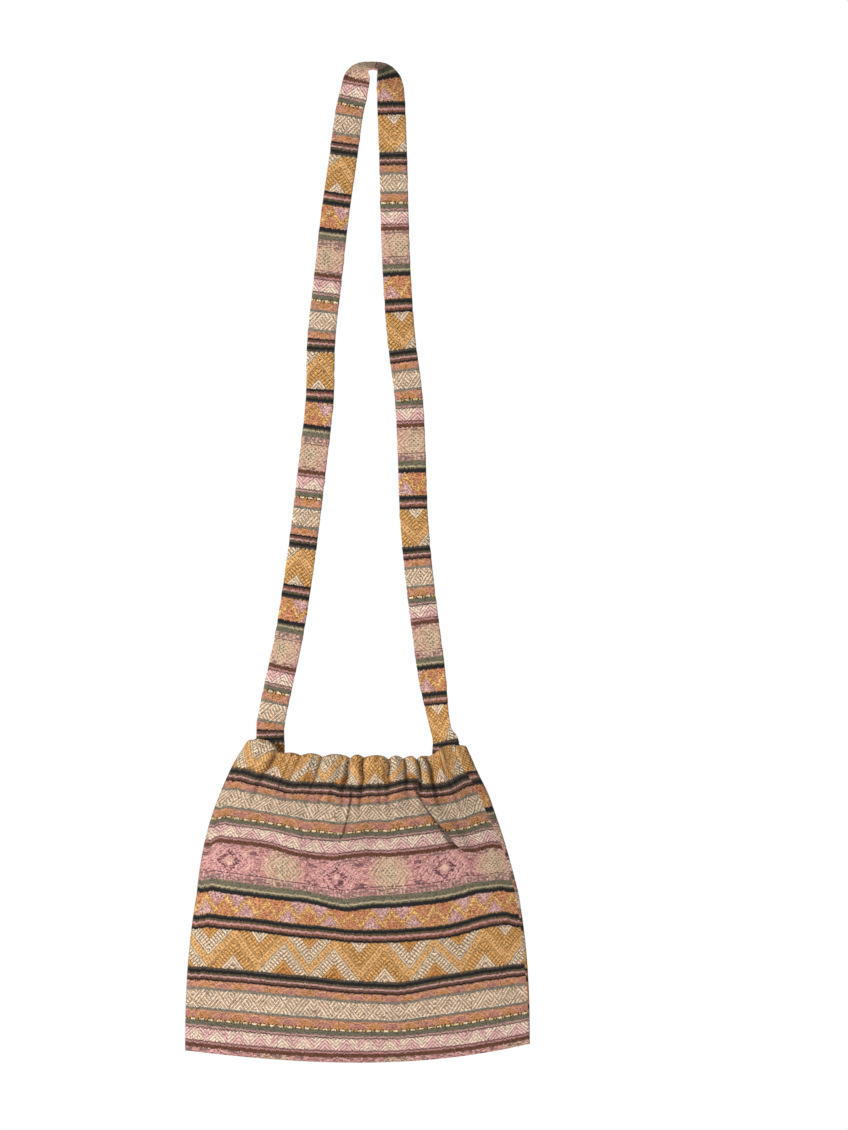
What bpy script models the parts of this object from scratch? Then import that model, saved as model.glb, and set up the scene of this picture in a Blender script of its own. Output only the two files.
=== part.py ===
# A flat shoulder bag of striped cloth, hanging by its strap. The bag is one piece of cloth folded at
# the bottom and sewn up both sides. Its top edge is turned in over an elastic that gathers the mouth.
# Metres, +Z up. The origin is the point under the strap where a hook holds it. The front faces -Y.

import bisect
import math

import bmesh
import bpy
from mathutils import Vector

# Bag cloth
CLOTH_WIDTH = 0.300         # seam to seam with the bag laid flat
BAG_DEPTH = 0.2706          # mouth fold to bottom fold, along the cloth
CLOTH_THICKNESS = 0.0009
FOLD_RADIUS = 0.0019        # outside radius of the side and bottom folds
BELLY = 0.0125              # how far the middle of a face stands out from its sides

# Gathered mouth
MOUTH_WIDTH = 0.190         # end to end, as the elastic draws it in
MOUTH_END_RADIUS = 0.0054   # outside radius of the casing at both ends of the mouth
CASING_DEPTH = 0.0250       # mouth fold to the stitch row
HEM_TURN_IN = 0.0290        # mouth fold to the raw edge inside
RUFFLE_OUT = 0.0050         # how far a gather stands out of the casing
RUFFLE_IN = 0.0020          # how far it stands into the mouth
RUFFLE_LIFT = 0.0025        # how far it lifts the mouth fold
RUFFLE_FADE = 0.0620        # below the casing the gathers run out in this length
RUFFLE_HELD = 0.5           # share of a gather's height left at the mouth fold and at the stitches
SPREAD_POWER = 2.45         # how soon the bag widens from the mouth down
PLEAT_RISE = 0.0036         # height of the two long pleats below the mouth
PLEAT_LENGTH = 0.0850
PLEAT_FULL = 0.2            # share of a pleat's length at which it stands full
PLEAT_WANE = 0.45           # share from which it runs out

# Elastic
ELASTIC_WIDTH = 0.0150
ELASTIC_THICKNESS = 0.0012
ELASTIC_DROP = 0.0050       # mouth fold to the elastic's upper edge
LAYER_GAP = 0.0004          # between the elastic and each cloth layer

# Strap
STRAP_WIDTH = 0.0244
STRAP_THICKNESS = 0.0024
STRAP_EDGE = 0.0010         # how far its rounded edges come in from the full width
STRAP_DROP = 0.5835         # hook to the corners of the mouth
STRAP_TUCK = 0.0240         # length inside the mouth
STRAP_INSET_LEFT = 0.0210   # end of the mouth to the strap's middle
STRAP_INSET_RIGHT = 0.0178
STRAP_SLACK = 0.0010        # between the strap and the hem it is tacked to
STRAP_LEAN = 0.8            # share of the drop from which the legs lean back to the hem
STRAP_TILT = math.radians(24)  # the front edge hangs lower over the hook

# Threads
THREAD = 0.0006
THREAD_GAP = 0.0003
TACK_LENGTH = 0.0160
TACK_DEPTH = 0.0170         # mouth fold to the rows that hold the strap
JOIN_LENGTH = 0.0060

# How the bag hangs
MOUTH_OFFSET = -0.0139      # middle of the mouth from the hook
DRIFT = 0.0042              # the upper half swings this far to the left
DRIFT_END = 0.5             # share of the depth where the swing ends
MOUTH_SAG = 0.0152          # the front of the mouth hangs this far below its corners
RIM_LEVEL = 0.60            # share of the mouth, from its middle, that hangs level
RIM_CORNER = 0.96           # share at which the rise to a corner ends
BACK_SAG = 0.0020           # and the back this much further
BOTTOM_SAG = 0.0133
MOUTH_LEAN = 0.0049         # right corner below the left one
BOTTOM_LEAN = 0.0057        # right corner above the left one
HANG = 0.9875               # height taken by a unit of cloth

# Valleys between the gathers: share of the cloth, share of the mouth, depth on the front and the back.
VALLEYS = (
    (-0.861, -0.807, 0.4, 0.8), (-0.786, -0.697, 0.8, 0.3), (-0.566, -0.495, 0.4, 1.0),
    (-0.367, -0.312, 0.9, 0.6), (-0.097, -0.064, 1.0, 0.9), (0.042, 0.064, 0.8, 0.4),
    (0.281, 0.284, 1.0, 1.0), (0.420, 0.413, 0.8, 0.5), (0.551, 0.532, 1.0, 0.9),
    (0.650, 0.624, 1.0, 0.4),
)
SMOOTH_END = 0.3            # height of the gathers outside the first and last valley
PLEATS = ((4, -1), (8, 1))  # place in VALLEYS of the crease, side of it on which the flap lies
FLAP = 0.16                 # width of a flap, as a share of half the cloth
CREASE = 0.006              # half the width of the step at a crease, in the same share
STEPS = 4                   # columns across one gather
END_ANGLES = (90, 45, 0, -45, -90)

# Heights of the rows as shares: in the casing, then from the stitch row to the bottom fold.
CASING_ROWS = (0.08, 0.36, 0.68, 1.0)
FACE_ROWS = (0.03, 0.065, 0.11, 0.18, 0.28, 0.42, 0.58, 0.75, 0.90, 1.0)
HEM_ROWS = (1.0, 0.55, 0.12)  # from the elastic's lower edge up to the mouth fold
BELLY_SHAPE = ((0.0, 0.72), (0.30, 1.0), (0.60, 0.85), (0.85, 0.36), (1.0, 0.0))
FOLD_ANGLES = (30, 60, 90)

# The strap's legs: share of the drop, sideways from the straight line between hook and mouth.
LEFT_BOW = (
    (0.031, -0.0134), (0.060, -0.0147), (0.135, -0.0142), (0.224, -0.0136), (0.313, -0.0114),
    (0.402, -0.0091), (0.492, -0.0025), (0.581, -0.0003), (0.670, 0.0015), (0.759, 0.0025),
    (0.848, 0.0021), (0.938, -0.0012), (0.982, -0.0020),
)
RIGHT_BOW = (
    (0.031, 0.0132), (0.060, 0.0122), (0.135, 0.0091), (0.224, 0.0047), (0.313, 0.0011),
    (0.402, -0.0007), (0.492, 0.0001), (0.581, -0.0030), (0.670, -0.0067), (0.759, -0.0076),
    (0.848, -0.0067), (0.938, -0.0052), (0.982, -0.0035),
)
HOOK_ARCH = ((-0.0135, -0.0090), (-0.0080, -0.0020), (0.0, 0.0), (0.0078, -0.0020), (0.0130, -0.0088))
# Turn of the strap about its own length: share of the drop, degrees from facing the front.
LEFT_TURN = ((0.0, 90), (0.012, 50), (0.03, 12), (0.06, 0), (0.95, 0), (1.0, -6), (1.03, -8))
RIGHT_TURN = ((0.0, 90), (0.012, 55), (0.04, 20), (0.07, 0), (0.89, 0), (0.95, -34), (0.98, -34),
              (1.0, -14), (1.03, -11))
STRAP_STEP = 0.0120         # between the strap's cross-sections
STRAP_STEP_ARCH = 0.0030    # the same where it bends over the hook


def clear_scene():
    for old in list(bpy.data.objects):
        bpy.data.objects.remove(old, do_unlink=True)


def mix(a, b, share):
    return a + (b - a) * share


def ease(low, high, value):
    """A smooth step from 0 at low to 1 at high."""
    share = min(1.0, max(0.0, (value - low) / (high - low)))
    return share * share * (3 - 2 * share)


def read_table(table, value):
    """Straight lines between the pairs of a table."""
    keys = [pair[0] for pair in table]
    place = min(max(bisect.bisect_right(keys, value), 1), len(table) - 1)
    (x0, y0), (x1, y1) = table[place - 1], table[place]
    return mix(y0, y1, min(1.0, max(0.0, (value - x0) / (x1 - x0))))


def material(name, colour, roughness):
    made = bpy.data.materials.new(name)
    made.use_nodes = True
    shader = made.node_tree.nodes["Principled BSDF"]
    shader.inputs["Base Color"].default_value = (*colour, 1)
    shader.inputs["Roughness"].default_value = roughness
    shader.inputs["Metallic"].default_value = 0.0
    made.diffuse_color = (*colour, 1)
    return made


def grid_object(name, columns, rows, point, finish):
    """An object made from a grid: point(column, row) places each vertex and doubles are merged."""
    bm = bmesh.new()
    bmesh.ops.create_grid(bm, x_segments=columns, y_segments=rows, size=1)
    for vert in bm.verts:
        column = round((vert.co.x + 1) / 2 * columns)
        row = round((vert.co.y + 1) / 2 * rows)
        vert.co = point(column, row)
    bmesh.ops.remove_doubles(bm, verts=bm.verts, dist=1e-6)
    open_edges = [edge for edge in bm.edges if edge.is_boundary]
    if open_edges and finish["caps"]:
        bmesh.ops.holes_fill(bm, edges=open_edges)
    bmesh.ops.recalc_face_normals(bm, faces=bm.faces)
    mesh = bpy.data.meshes.new(name)
    bm.to_mesh(mesh)
    bm.free()
    mesh.shade_smooth()
    mesh.materials.append(finish["material"])
    made = bpy.data.objects.new(name, mesh)
    bpy.context.scene.collection.objects.link(made)
    return made


# Bag cloth


def casing_columns():
    """Cloth share, mouth share, gather height on the front and on the back, for each column."""
    stops = [(-1.0, -1.0, 1.0, 1.0), *VALLEYS, (1.0, 1.0, 1.0, 1.0)]
    columns = []
    for place, (start, end) in enumerate(zip(stops, stops[1:])):
        outside = place in (0, len(stops) - 2)
        peak = SMOOTH_END if outside else 1.0
        for step in range(STEPS):
            share = step / STEPS
            arch = math.sin(math.pi * share) ** 0.8
            heights = []
            for side in (2, 3):
                foot = 0.6 * mix(1 - start[side], 1 - end[side], share)
                heights.append(mix(foot, max(peak, foot), arch))
            columns.append((mix(start[0], end[0], share), mix(start[1], end[1], share), *heights))
    columns.append((1.0, 1.0, 0.0, 0.0))
    for valley, _ in reversed(PLEATS):
        place = (valley + 1) * STEPS
        cloth, mouth, front, back = columns[place]
        edges = [(cloth + side * CREASE, mouth + side * CREASE, front, back) for side in (-1, 1)]
        columns[place:place + 1] = edges
    return columns


def ring_stations():
    """Stations around the bag: side (1 front, -1 back, 0 at an end), column or end angle."""
    columns = casing_columns()
    ring = [(0, -1, angle) for angle in END_ANGLES[::-1]]
    ring += [(1, column, None) for column in columns[1:-1]]
    ring += [(0, 1, angle) for angle in END_ANGLES]
    ring += [(-1, column, None) for column in columns[-2:0:-1]]
    return ring


def end_radius(drop):
    return mix(MOUTH_END_RADIUS, FOLD_RADIUS, ease(CASING_DEPTH, 2.6 * CASING_DEPTH, drop))


def half_width(drop):
    share = min(1.0, drop / BAG_DEPTH)
    spread = 1 - (1 - share) ** SPREAD_POWER
    return mix(MOUTH_WIDTH, CLOTH_WIDTH, spread) / 2


def middle_x(drop):
    share = min(1.0, drop / BAG_DEPTH / DRIFT_END)
    return MOUTH_OFFSET - DRIFT * math.sin(math.pi * share) + 0.1 * DRIFT * share


def height(across, drop, side):
    """Height of the cloth at a share across the bag and a drop from the mouth fold."""
    down = drop / BAG_DEPTH
    bowl = 1 - across * across
    rim = 1 - ease(RIM_LEVEL, RIM_CORNER, abs(across))
    sag = mix(MOUTH_SAG, BOTTOM_SAG, down) + (BACK_SAG * (1 - down) if side < 0 else 0)
    shape = mix(rim, bowl, ease(0, CASING_DEPTH, drop))
    lean = mix(-MOUTH_LEAN, BOTTOM_LEAN, down) / 2 * across
    return -STRAP_DROP - HANG * drop + lean - sag * shape


def pressed_share(drop):
    """0 where the elastic keeps the cloth layers apart, 1 where the stitches hold them together."""
    return ease(ELASTIC_DROP + ELASTIC_WIDTH + LAYER_GAP, CASING_DEPTH, drop)


def ruffle(drop, layer):
    """How far a gather stands out of the cloth's outer or inner layer."""
    fade = 1 - ease(CASING_DEPTH, CASING_DEPTH + RUFFLE_FADE, drop)
    swell = mix(RUFFLE_HELD, 1.0, math.sin(math.pi * min(1.0, drop / CASING_DEPTH)))
    outer = RUFFLE_OUT * swell * fade
    if layer == "outer":
        return outer
    return mix(-RUFFLE_IN, outer, pressed_share(drop))


def pleat(cloth, drop):
    """Rise of the front where a flap lies over its neighbour."""
    length = (drop - HEM_TURN_IN) / PLEAT_LENGTH
    if not 0 < length < 1:
        return 0.0
    strength = ease(0, PLEAT_FULL, length) * (1 - ease(PLEAT_WANE, 1, length))
    rise = 0.0
    for valley, flap_side in PLEATS:
        off = (cloth - VALLEYS[valley][0]) * flap_side
        if 0 < off < FLAP:
            rise += PLEAT_RISE * strength * (1 - off / FLAP)
    return rise


def bag_point(station, drop, inset, stand_out, lift=0.0):
    """A point of the bag. inset is measured inwards from the outer face of the cloth."""
    side, column, angle = station
    radius = end_radius(drop)
    core = half_width(drop) - radius
    if side == 0:
        turn = math.radians(angle)
        x = column * (core + (radius - inset) * math.cos(turn))
        y = -(radius - inset) * math.sin(turn)
        return Vector((middle_x(drop) + x, y, height(column, drop, 1)))
    cloth, mouth, front, back = column
    gathered = 1 - ease(0.6 * CASING_DEPTH, 4.2 * CASING_DEPTH, drop)
    across = mix(cloth, mouth, gathered)
    gather = front if side > 0 else back
    belly = BELLY * read_table(BELLY_SHAPE, drop / BAG_DEPTH)
    y = radius - inset + belly * (1 - across * across) ** 0.7 + gather * stand_out
    if side > 0:
        y += pleat(cloth, drop)
    z = height(across, drop, side) + lift * gather
    return Vector((middle_x(drop) + core * across, -side * y, z))


def hem_inset():
    """Outer face of the bag to the right side of the turned-in hem, in the casing."""
    return 2 * CLOTH_THICKNESS + ELASTIC_THICKNESS + 2 * LAYER_GAP


def cloth_rows():
    """Drop, inset, stand-out and lift of each row, from the raw edge inside to the bottom fold."""
    pressed = 2 * CLOTH_THICKNESS + THREAD_GAP
    low = ELASTIC_DROP + ELASTIC_WIDTH + LAYER_GAP
    rows = []
    for drop in (HEM_TURN_IN, CASING_DEPTH, *(low * share for share in HEM_ROWS)):
        inset = mix(hem_inset(), pressed, pressed_share(drop))
        rows.append((drop, inset, ruffle(drop, "inner"), 0.0))
    radius = hem_inset() / 2
    for angle in (150, 90, 30):
        turn = math.radians(angle)
        share = (1 - math.cos(turn)) / 2
        stand_out = mix(ruffle(0, "outer"), ruffle(0, "inner"), share)
        rows.append((radius * (1 - math.sin(turn)), hem_inset() * share, stand_out, RUFFLE_LIFT))
    for share in CASING_ROWS:
        drop = CASING_DEPTH * share
        rows.append((drop, 0.0, ruffle(drop, "outer"), RUFFLE_LIFT * (1 - ease(0, 1, share))))
    for share in FACE_ROWS:
        drop = mix(CASING_DEPTH, BAG_DEPTH - FOLD_RADIUS, share)
        rows.append((drop, 0.0, ruffle(drop, "outer"), 0.0))
    return rows


def build_bag_body():
    ring = ring_stations()
    rows = cloth_rows()
    last = len(rows) - 1

    def point(column, row):
        station = ring[column % len(ring)]
        if row <= last:
            return bag_point(station, *rows[row])
        turn = math.radians(FOLD_ANGLES[row - last - 1])
        place = bag_point(station, rows[last][0], 0.0, 0.0)
        place.y *= math.cos(turn) if row < last + len(FOLD_ANGLES) else 0.0
        place.z -= FOLD_RADIUS * math.sin(turn)
        return place

    finish = {"caps": False, "material": material("striped_cloth", (0.52, 0.36, 0.25), 0.9)}
    bag = grid_object("bag_body", len(ring), last + len(FOLD_ANGLES), point, finish)
    front = min(bag.data.polygons, key=lambda face: face.center.y)
    if front.normal.y > 0:
        bag.data.flip_normals()
    wall = bag.modifiers.new("cloth thickness", "SOLIDIFY")
    wall.thickness = CLOTH_THICKNESS
    wall.offset = -1
    wall.use_rim = True
    return bag


# Elastic


def build_mouth_elastic():
    ring = ring_stations()
    outer = CLOTH_THICKNESS + LAYER_GAP
    inner = outer + ELASTIC_THICKNESS
    low = ELASTIC_DROP + ELASTIC_WIDTH
    section = ((ELASTIC_DROP, outer), (low, outer), (low, inner), (ELASTIC_DROP, inner))

    def point(column, row):
        drop, inset = section[row % len(section)]
        return bag_point(ring[column % len(ring)], drop, inset, 0.0)

    finish = {"caps": False, "material": material("white_elastic", (0.80, 0.78, 0.74), 0.8)}
    return grid_object("mouth_elastic", len(ring), len(section), point, finish)


# Strap


def strap_base(side):
    inset = STRAP_INSET_LEFT if side < 0 else STRAP_INSET_RIGHT
    return MOUTH_OFFSET + side * (MOUTH_WIDTH / 2 - inset)


def strap_seat(side):
    """Distance behind the bag's middle plane at which the strap lies on the back hem."""
    across = (strap_base(side) - MOUTH_OFFSET) / (MOUTH_WIDTH / 2)
    hem = MOUTH_END_RADIUS - hem_inset() + BELLY * BELLY_SHAPE[0][1] * (1 - across**2) ** 0.7
    return hem - RUFFLE_IN - STRAP_THICKNESS / 2 - STRAP_SLACK


def leg_points(side):
    """Middle of the strap on one leg, from the hook down to its end inside the mouth."""
    bow = LEFT_BOW if side < 0 else RIGHT_BOW
    base = strap_base(side)
    seat = strap_seat(side)
    points = [Vector((base * share + off, seat * ease(STRAP_LEAN, 1.0, share), -STRAP_DROP * share))
              for share, off in bow]
    for below in (0.12, 0.5, 1.0):
        points.append(Vector((base, seat, -STRAP_DROP - STRAP_TUCK * below)))
    return points


def strap_route():
    """Points of the strap's middle line from the left end over the hook to the right end."""
    top = STRAP_THICKNESS / 2
    arch = [Vector((x, 0, z + top)) for x, z in HOOK_ARCH]
    return leg_points(-1)[::-1] + arch + leg_points(1)


def smooth_route(points):
    """Even samples of the curve through the points."""
    ends = [points[0] * 2 - points[1], *points, points[-1] * 2 - points[-2]]
    route = [points[0]]
    for a, b, c, d in zip(ends, ends[1:], ends[2:], ends[3:]):
        length = (c - b).length
        step = STRAP_STEP_ARCH if max(b.z, c.z) > -1.2 * STRAP_WIDTH else STRAP_STEP
        count = max(1, round(length / step))
        ab, cd = max((b - a).length, 1e-6), max((d - c).length, 1e-6)
        tangent_b = ((b - a) / ab + (c - b) / length) * length / 2
        tangent_c = ((c - b) / length + (d - c) / cd) * length / 2
        for index in range(1, count + 1):
            t = index / count
            route.append(b * (2 * t**3 - 3 * t**2 + 1) + tangent_b * (t**3 - 2 * t**2 + t)
                         + c * (3 * t**2 - 2 * t**3) + tangent_c * (t**3 - t**2))
    return route


def strap_frames():
    """Middle, width direction and thickness direction at each cross-section of the strap."""
    route = smooth_route(strap_route())
    frames = []
    for index, place in enumerate(route):
        along = route[min(index + 1, len(route) - 1)] - route[max(index - 1, 0)]
        along.normalize()
        side = -1 if place.x < 0 else 1
        turn = LEFT_TURN if side < 0 else RIGHT_TURN
        angle = math.radians(read_table(turn, max(0.0, -place.z / STRAP_DROP)))
        over = math.sin(max(angle, 0.0)) ** 2 * math.sin(STRAP_TILT)
        across = Vector((-side * math.cos(angle), -math.sin(angle), -over))
        across = (across - along * across.dot(along)).normalized()
        frames.append((place, across, across.cross(along)))
    return frames


def build_shoulder_strap():
    frames = strap_frames()
    half, thin, flat = STRAP_WIDTH / 2, STRAP_THICKNESS / 2, STRAP_WIDTH / 2 - STRAP_EDGE
    section = ((half, 0), (flat, thin), (-flat, thin), (-half, 0), (-flat, -thin), (flat, -thin))

    def point(column, row):
        place, across, out = frames[column]
        wide, deep = section[row % len(section)]
        return place + across * wide + out * deep

    finish = {"caps": True, "material": material("striped_strap", (0.50, 0.34, 0.25), 0.9)}
    return grid_object("shoulder_strap", len(frames) - 1, len(section), point, finish)


# Threads


def build_casing_stitch(finish):
    ring = ring_stations()
    reach = THREAD_GAP + THREAD / 2

    def point(column, row):
        turn = math.tau * row / 4
        drop = CASING_DEPTH + THREAD / 2 * math.sin(turn)
        inset = -reach + THREAD / 2 * math.cos(turn)
        return bag_point(ring[column % len(ring)], drop, inset, ruffle(CASING_DEPTH, "outer"))

    return grid_object("casing_stitch_thread", len(ring), 4, point, finish)


def build_side_seam(name, side, finish):
    rows = [row for row in cloth_rows() if row[0] > HEM_TURN_IN + 3 * THREAD]
    inset = CLOTH_THICKNESS + THREAD_GAP + THREAD / 2

    def point(column, row):
        place = bag_point((0, side, 0), rows[column][0], inset, 0.0)
        turn = math.tau * row / 5
        return place + Vector((math.cos(turn), math.sin(turn), 0)) * THREAD / 2

    return grid_object(name, len(rows) - 1, 5, point, finish)


def bar(name, middle, along, across, out, length, finish):
    """A short flat bar of stitches: middle, three directions and length."""
    def point(column, row):
        corner = ((1, 1), (-1, 1), (-1, -1), (1, -1))[row % 4]
        start = along * length * (column / 3 - 1 / 2)
        return middle + start + across * THREAD * corner[0] + out * THREAD / 2 * corner[1]

    return grid_object(name, 3, 4, point, finish)


def build_strap_tack(name, side, finish):
    level = -STRAP_DROP - TACK_DEPTH
    frames = strap_frames()
    leg = [frame for frame in frames if frame[0].x * side > 0]
    place, across, out = min(leg, key=lambda frame: abs(frame[0].z - level))
    if out.y > 0:
        out = -out
    middle = place + out * (STRAP_THICKNESS / 2 + THREAD_GAP + THREAD / 2)
    return bar(name, middle, across, across.cross(out), out, TACK_LENGTH, finish)


def build_elastic_join(finish):
    """Stitches over the elastic's lapped ends, under the gather at the middle of the back."""
    columns = casing_columns()
    middle = min(range(len(columns)), key=lambda i: abs(columns[i][0]))
    station = (-1, columns[middle + 1], None)
    drop = ELASTIC_DROP + ELASTIC_WIDTH / 2
    reach = CLOTH_THICKNESS + LAYER_GAP - THREAD_GAP - THREAD / 2
    place = bag_point(station, drop, reach, 0.0)
    return bar("elastic_join_thread", place, Vector((0, 0, 1)), Vector((1, 0, 0)),
               Vector((0, 1, 0)), JOIN_LENGTH, finish)


def main():
    clear_scene()
    build_bag_body()
    build_mouth_elastic()
    build_shoulder_strap()
    thread = {"caps": True, "material": material("brown_thread", (0.20, 0.13, 0.09), 0.7)}
    build_casing_stitch(thread)
    build_side_seam("side_seam_thread_left", -1, thread)
    build_side_seam("side_seam_thread_right", 1, thread)
    build_strap_tack("strap_tack_left", -1, thread)
    build_strap_tack("strap_tack_right", 1, thread)
    build_elastic_join(thread)


main()
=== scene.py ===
import bisect
import math

import bmesh
import bpy
from mathutils import Matrix, Vector, noise


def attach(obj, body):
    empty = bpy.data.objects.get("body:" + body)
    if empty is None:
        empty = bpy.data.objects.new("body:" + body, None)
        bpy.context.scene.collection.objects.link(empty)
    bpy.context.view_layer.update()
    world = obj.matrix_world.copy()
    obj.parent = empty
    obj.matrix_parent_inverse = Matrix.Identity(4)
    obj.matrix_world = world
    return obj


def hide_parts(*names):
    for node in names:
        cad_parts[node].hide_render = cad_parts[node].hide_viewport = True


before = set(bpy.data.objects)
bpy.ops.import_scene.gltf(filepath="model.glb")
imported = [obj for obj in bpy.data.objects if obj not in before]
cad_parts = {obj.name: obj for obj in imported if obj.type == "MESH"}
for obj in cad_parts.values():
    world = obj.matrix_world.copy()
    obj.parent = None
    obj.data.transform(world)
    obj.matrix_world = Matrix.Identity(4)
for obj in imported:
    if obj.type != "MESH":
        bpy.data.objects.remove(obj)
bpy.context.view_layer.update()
print("frame loaded")


# Small helpers

def mix(a, b, share):
    return a + (b - a) * share


def ease(low, high, value):
    share = min(1.0, max(0.0, (value - low) / (high - low)))
    return share * share * (3 - 2 * share)


def hump(value, middle, halfWidth):
    # 1 at the middle, smoothly down to 0 at both ends
    return 1 - ease(0, halfWidth, abs(value - middle))


def stretch(keys, value):
    # number of the key at the end of the stretch that holds the value
    return min(max(bisect.bisect_right(keys, value), 1), len(keys) - 1)


def curve(a, b, startSlope, endSlope, t):
    # from a to b with these slopes at the ends, for numbers and for points
    return (a * (2 * t**3 - 3 * t**2 + 1) + startSlope * (t**3 - 2 * t**2 + t)
            + b * (3 * t**2 - 2 * t**3) + endSlope * (t**3 - t**2))


def readTable(table, value):
    # what a table of pairs says at a value, on straight lines between the pairs
    place = stretch([pair[0] for pair in table], value)
    (x0, y0), (x1, y1) = table[place - 1], table[place]
    return mix(y0, y1, min(1.0, max(0.0, (value - x0) / (x1 - x0))))


def smoothTable(table, value):
    # the same with a smooth curve that never turns back between the pairs
    place = stretch([pair[0] for pair in table], value)
    slopes = [(b[1] - a[1]) / (b[0] - a[0]) for a, b in zip(table, table[1:])]

    def tangent(index):
        if index in (0, len(table) - 1):
            return slopes[min(index, len(slopes) - 1)]
        before, after = slopes[index - 1], slopes[index]
        return 0.0 if before * after <= 0 else 2 * before * after / (before + after)

    (x0, y0), (x1, y1) = table[place - 1], table[place]
    gap = x1 - x0
    t = min(1.0, max(0.0, (value - x0) / gap))
    return curve(y0, y1, tangent(place - 1) * gap, tangent(place) * gap, t)


def newObject(name, bm, material):
    mesh = bpy.data.meshes.new(name)
    bm.to_mesh(mesh)
    bm.free()
    mesh.shade_smooth()
    mesh.materials.append(material)
    made = bpy.data.objects.new(name, mesh)
    bpy.context.scene.collection.objects.link(made)
    return made


# Camera, where the photograph was taken from

camera = {
    "pixel": 0.00087,        # size of one pixel at the strap
    "hook": (373, 69.5),     # pixel of the origin
    "middle": (424, 565),    # pixel at the middle of the frame
    "height": 1130,
    "lens": 90,
}


def addCamera():
    data = bpy.data.cameras.new("camera")
    data.lens = camera["lens"]
    made = bpy.data.objects.new("camera", data)
    bpy.context.scene.collection.objects.link(made)
    across = (camera["middle"][0] - camera["hook"][0]) * camera["pixel"]
    down = (camera["middle"][1] - camera["hook"][1]) * camera["pixel"]
    away = camera["height"] * camera["pixel"] * camera["lens"] / data.sensor_width
    made.location = (across, -away, -down)
    made.rotation_euler = (math.radians(90), 0, 0)
    bpy.context.scene.camera = made


addCamera()
print("camera placed")


# Materials

# Bands of the woven repeat in millimetres down the cloth, from the top of the first black line:
# top, bottom and ground colour.
bands = {
    "teethB": (0, 1.6, (74, 64, 54)), "blackB1": (1.6, 4.15, (22, 21, 24)),
    "oliveB": (4.15, 6.5, (88, 74, 50)), "pinkB": (6.5, 7.8, (196, 150, 146)),
    "brownB": (7.8, 10, (104, 70, 54)), "blackB2": (10, 11.75, (24, 22, 24)),
    "domesC": (11.75, 17.4, (212, 146, 98)), "greyD": (17.4, 20, (128, 118, 104)),
    "strokes": (20, 33.9, (236, 220, 198)), "greyF": (33.9, 36.5, (122, 114, 100)),
    "domesG": (36.5, 43.1, (212, 146, 98)), "dashes": (43.1, 45.2, (84, 62, 40)),
    "oliveI": (45.2, 49, (104, 98, 80)), "pinkI": (49, 50.5, (190, 142, 138)),
    "darkI": (50.5, 52.2, (96, 84, 68)), "chevrons": (52.2, 62.2, (214, 162, 160)),
    "dotsK": (62.2, 63.25, (112, 80, 74)), "mauveK": (63.25, 65, (184, 132, 128)),
    "brownK": (65, 68.7, (100, 62, 44)), "eyes": (68.7, 97, (204, 146, 142)),
    "oliveM1": (97, 101.4, (108, 102, 82)), "creamM": (101.4, 102.7, (180, 164, 130)),
    "oliveM2": (102.7, 104.4, (98, 92, 70)), "blackM": (104.4, 108.3, (30, 27, 28)),
    "peaks": (108.3, 127, (214, 152, 84)), "teethO": (127, 128.8, (72, 62, 54)),
    "blackO1": (128.8, 131.4, (22, 21, 24)), "oliveO": (131.4, 133.5, (88, 74, 50)),
    "pinkO": (133.5, 135.3, (190, 138, 130)), "brownO": (135.3, 137.1, (116, 74, 54)),
    "blackO2": (137.1, 139.8, (24, 22, 24)), "zigzag": (139.8, 171.8, (208, 158, 92)),
}
clothRepeat = bands["zigzag"][1]


def linear(colour):
    values = [channel / 255 for channel in colour]
    return tuple(c / 12.92 if c < 0.04045 else ((c + 0.055) / 1.055) ** 2.4 for c in values)


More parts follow.
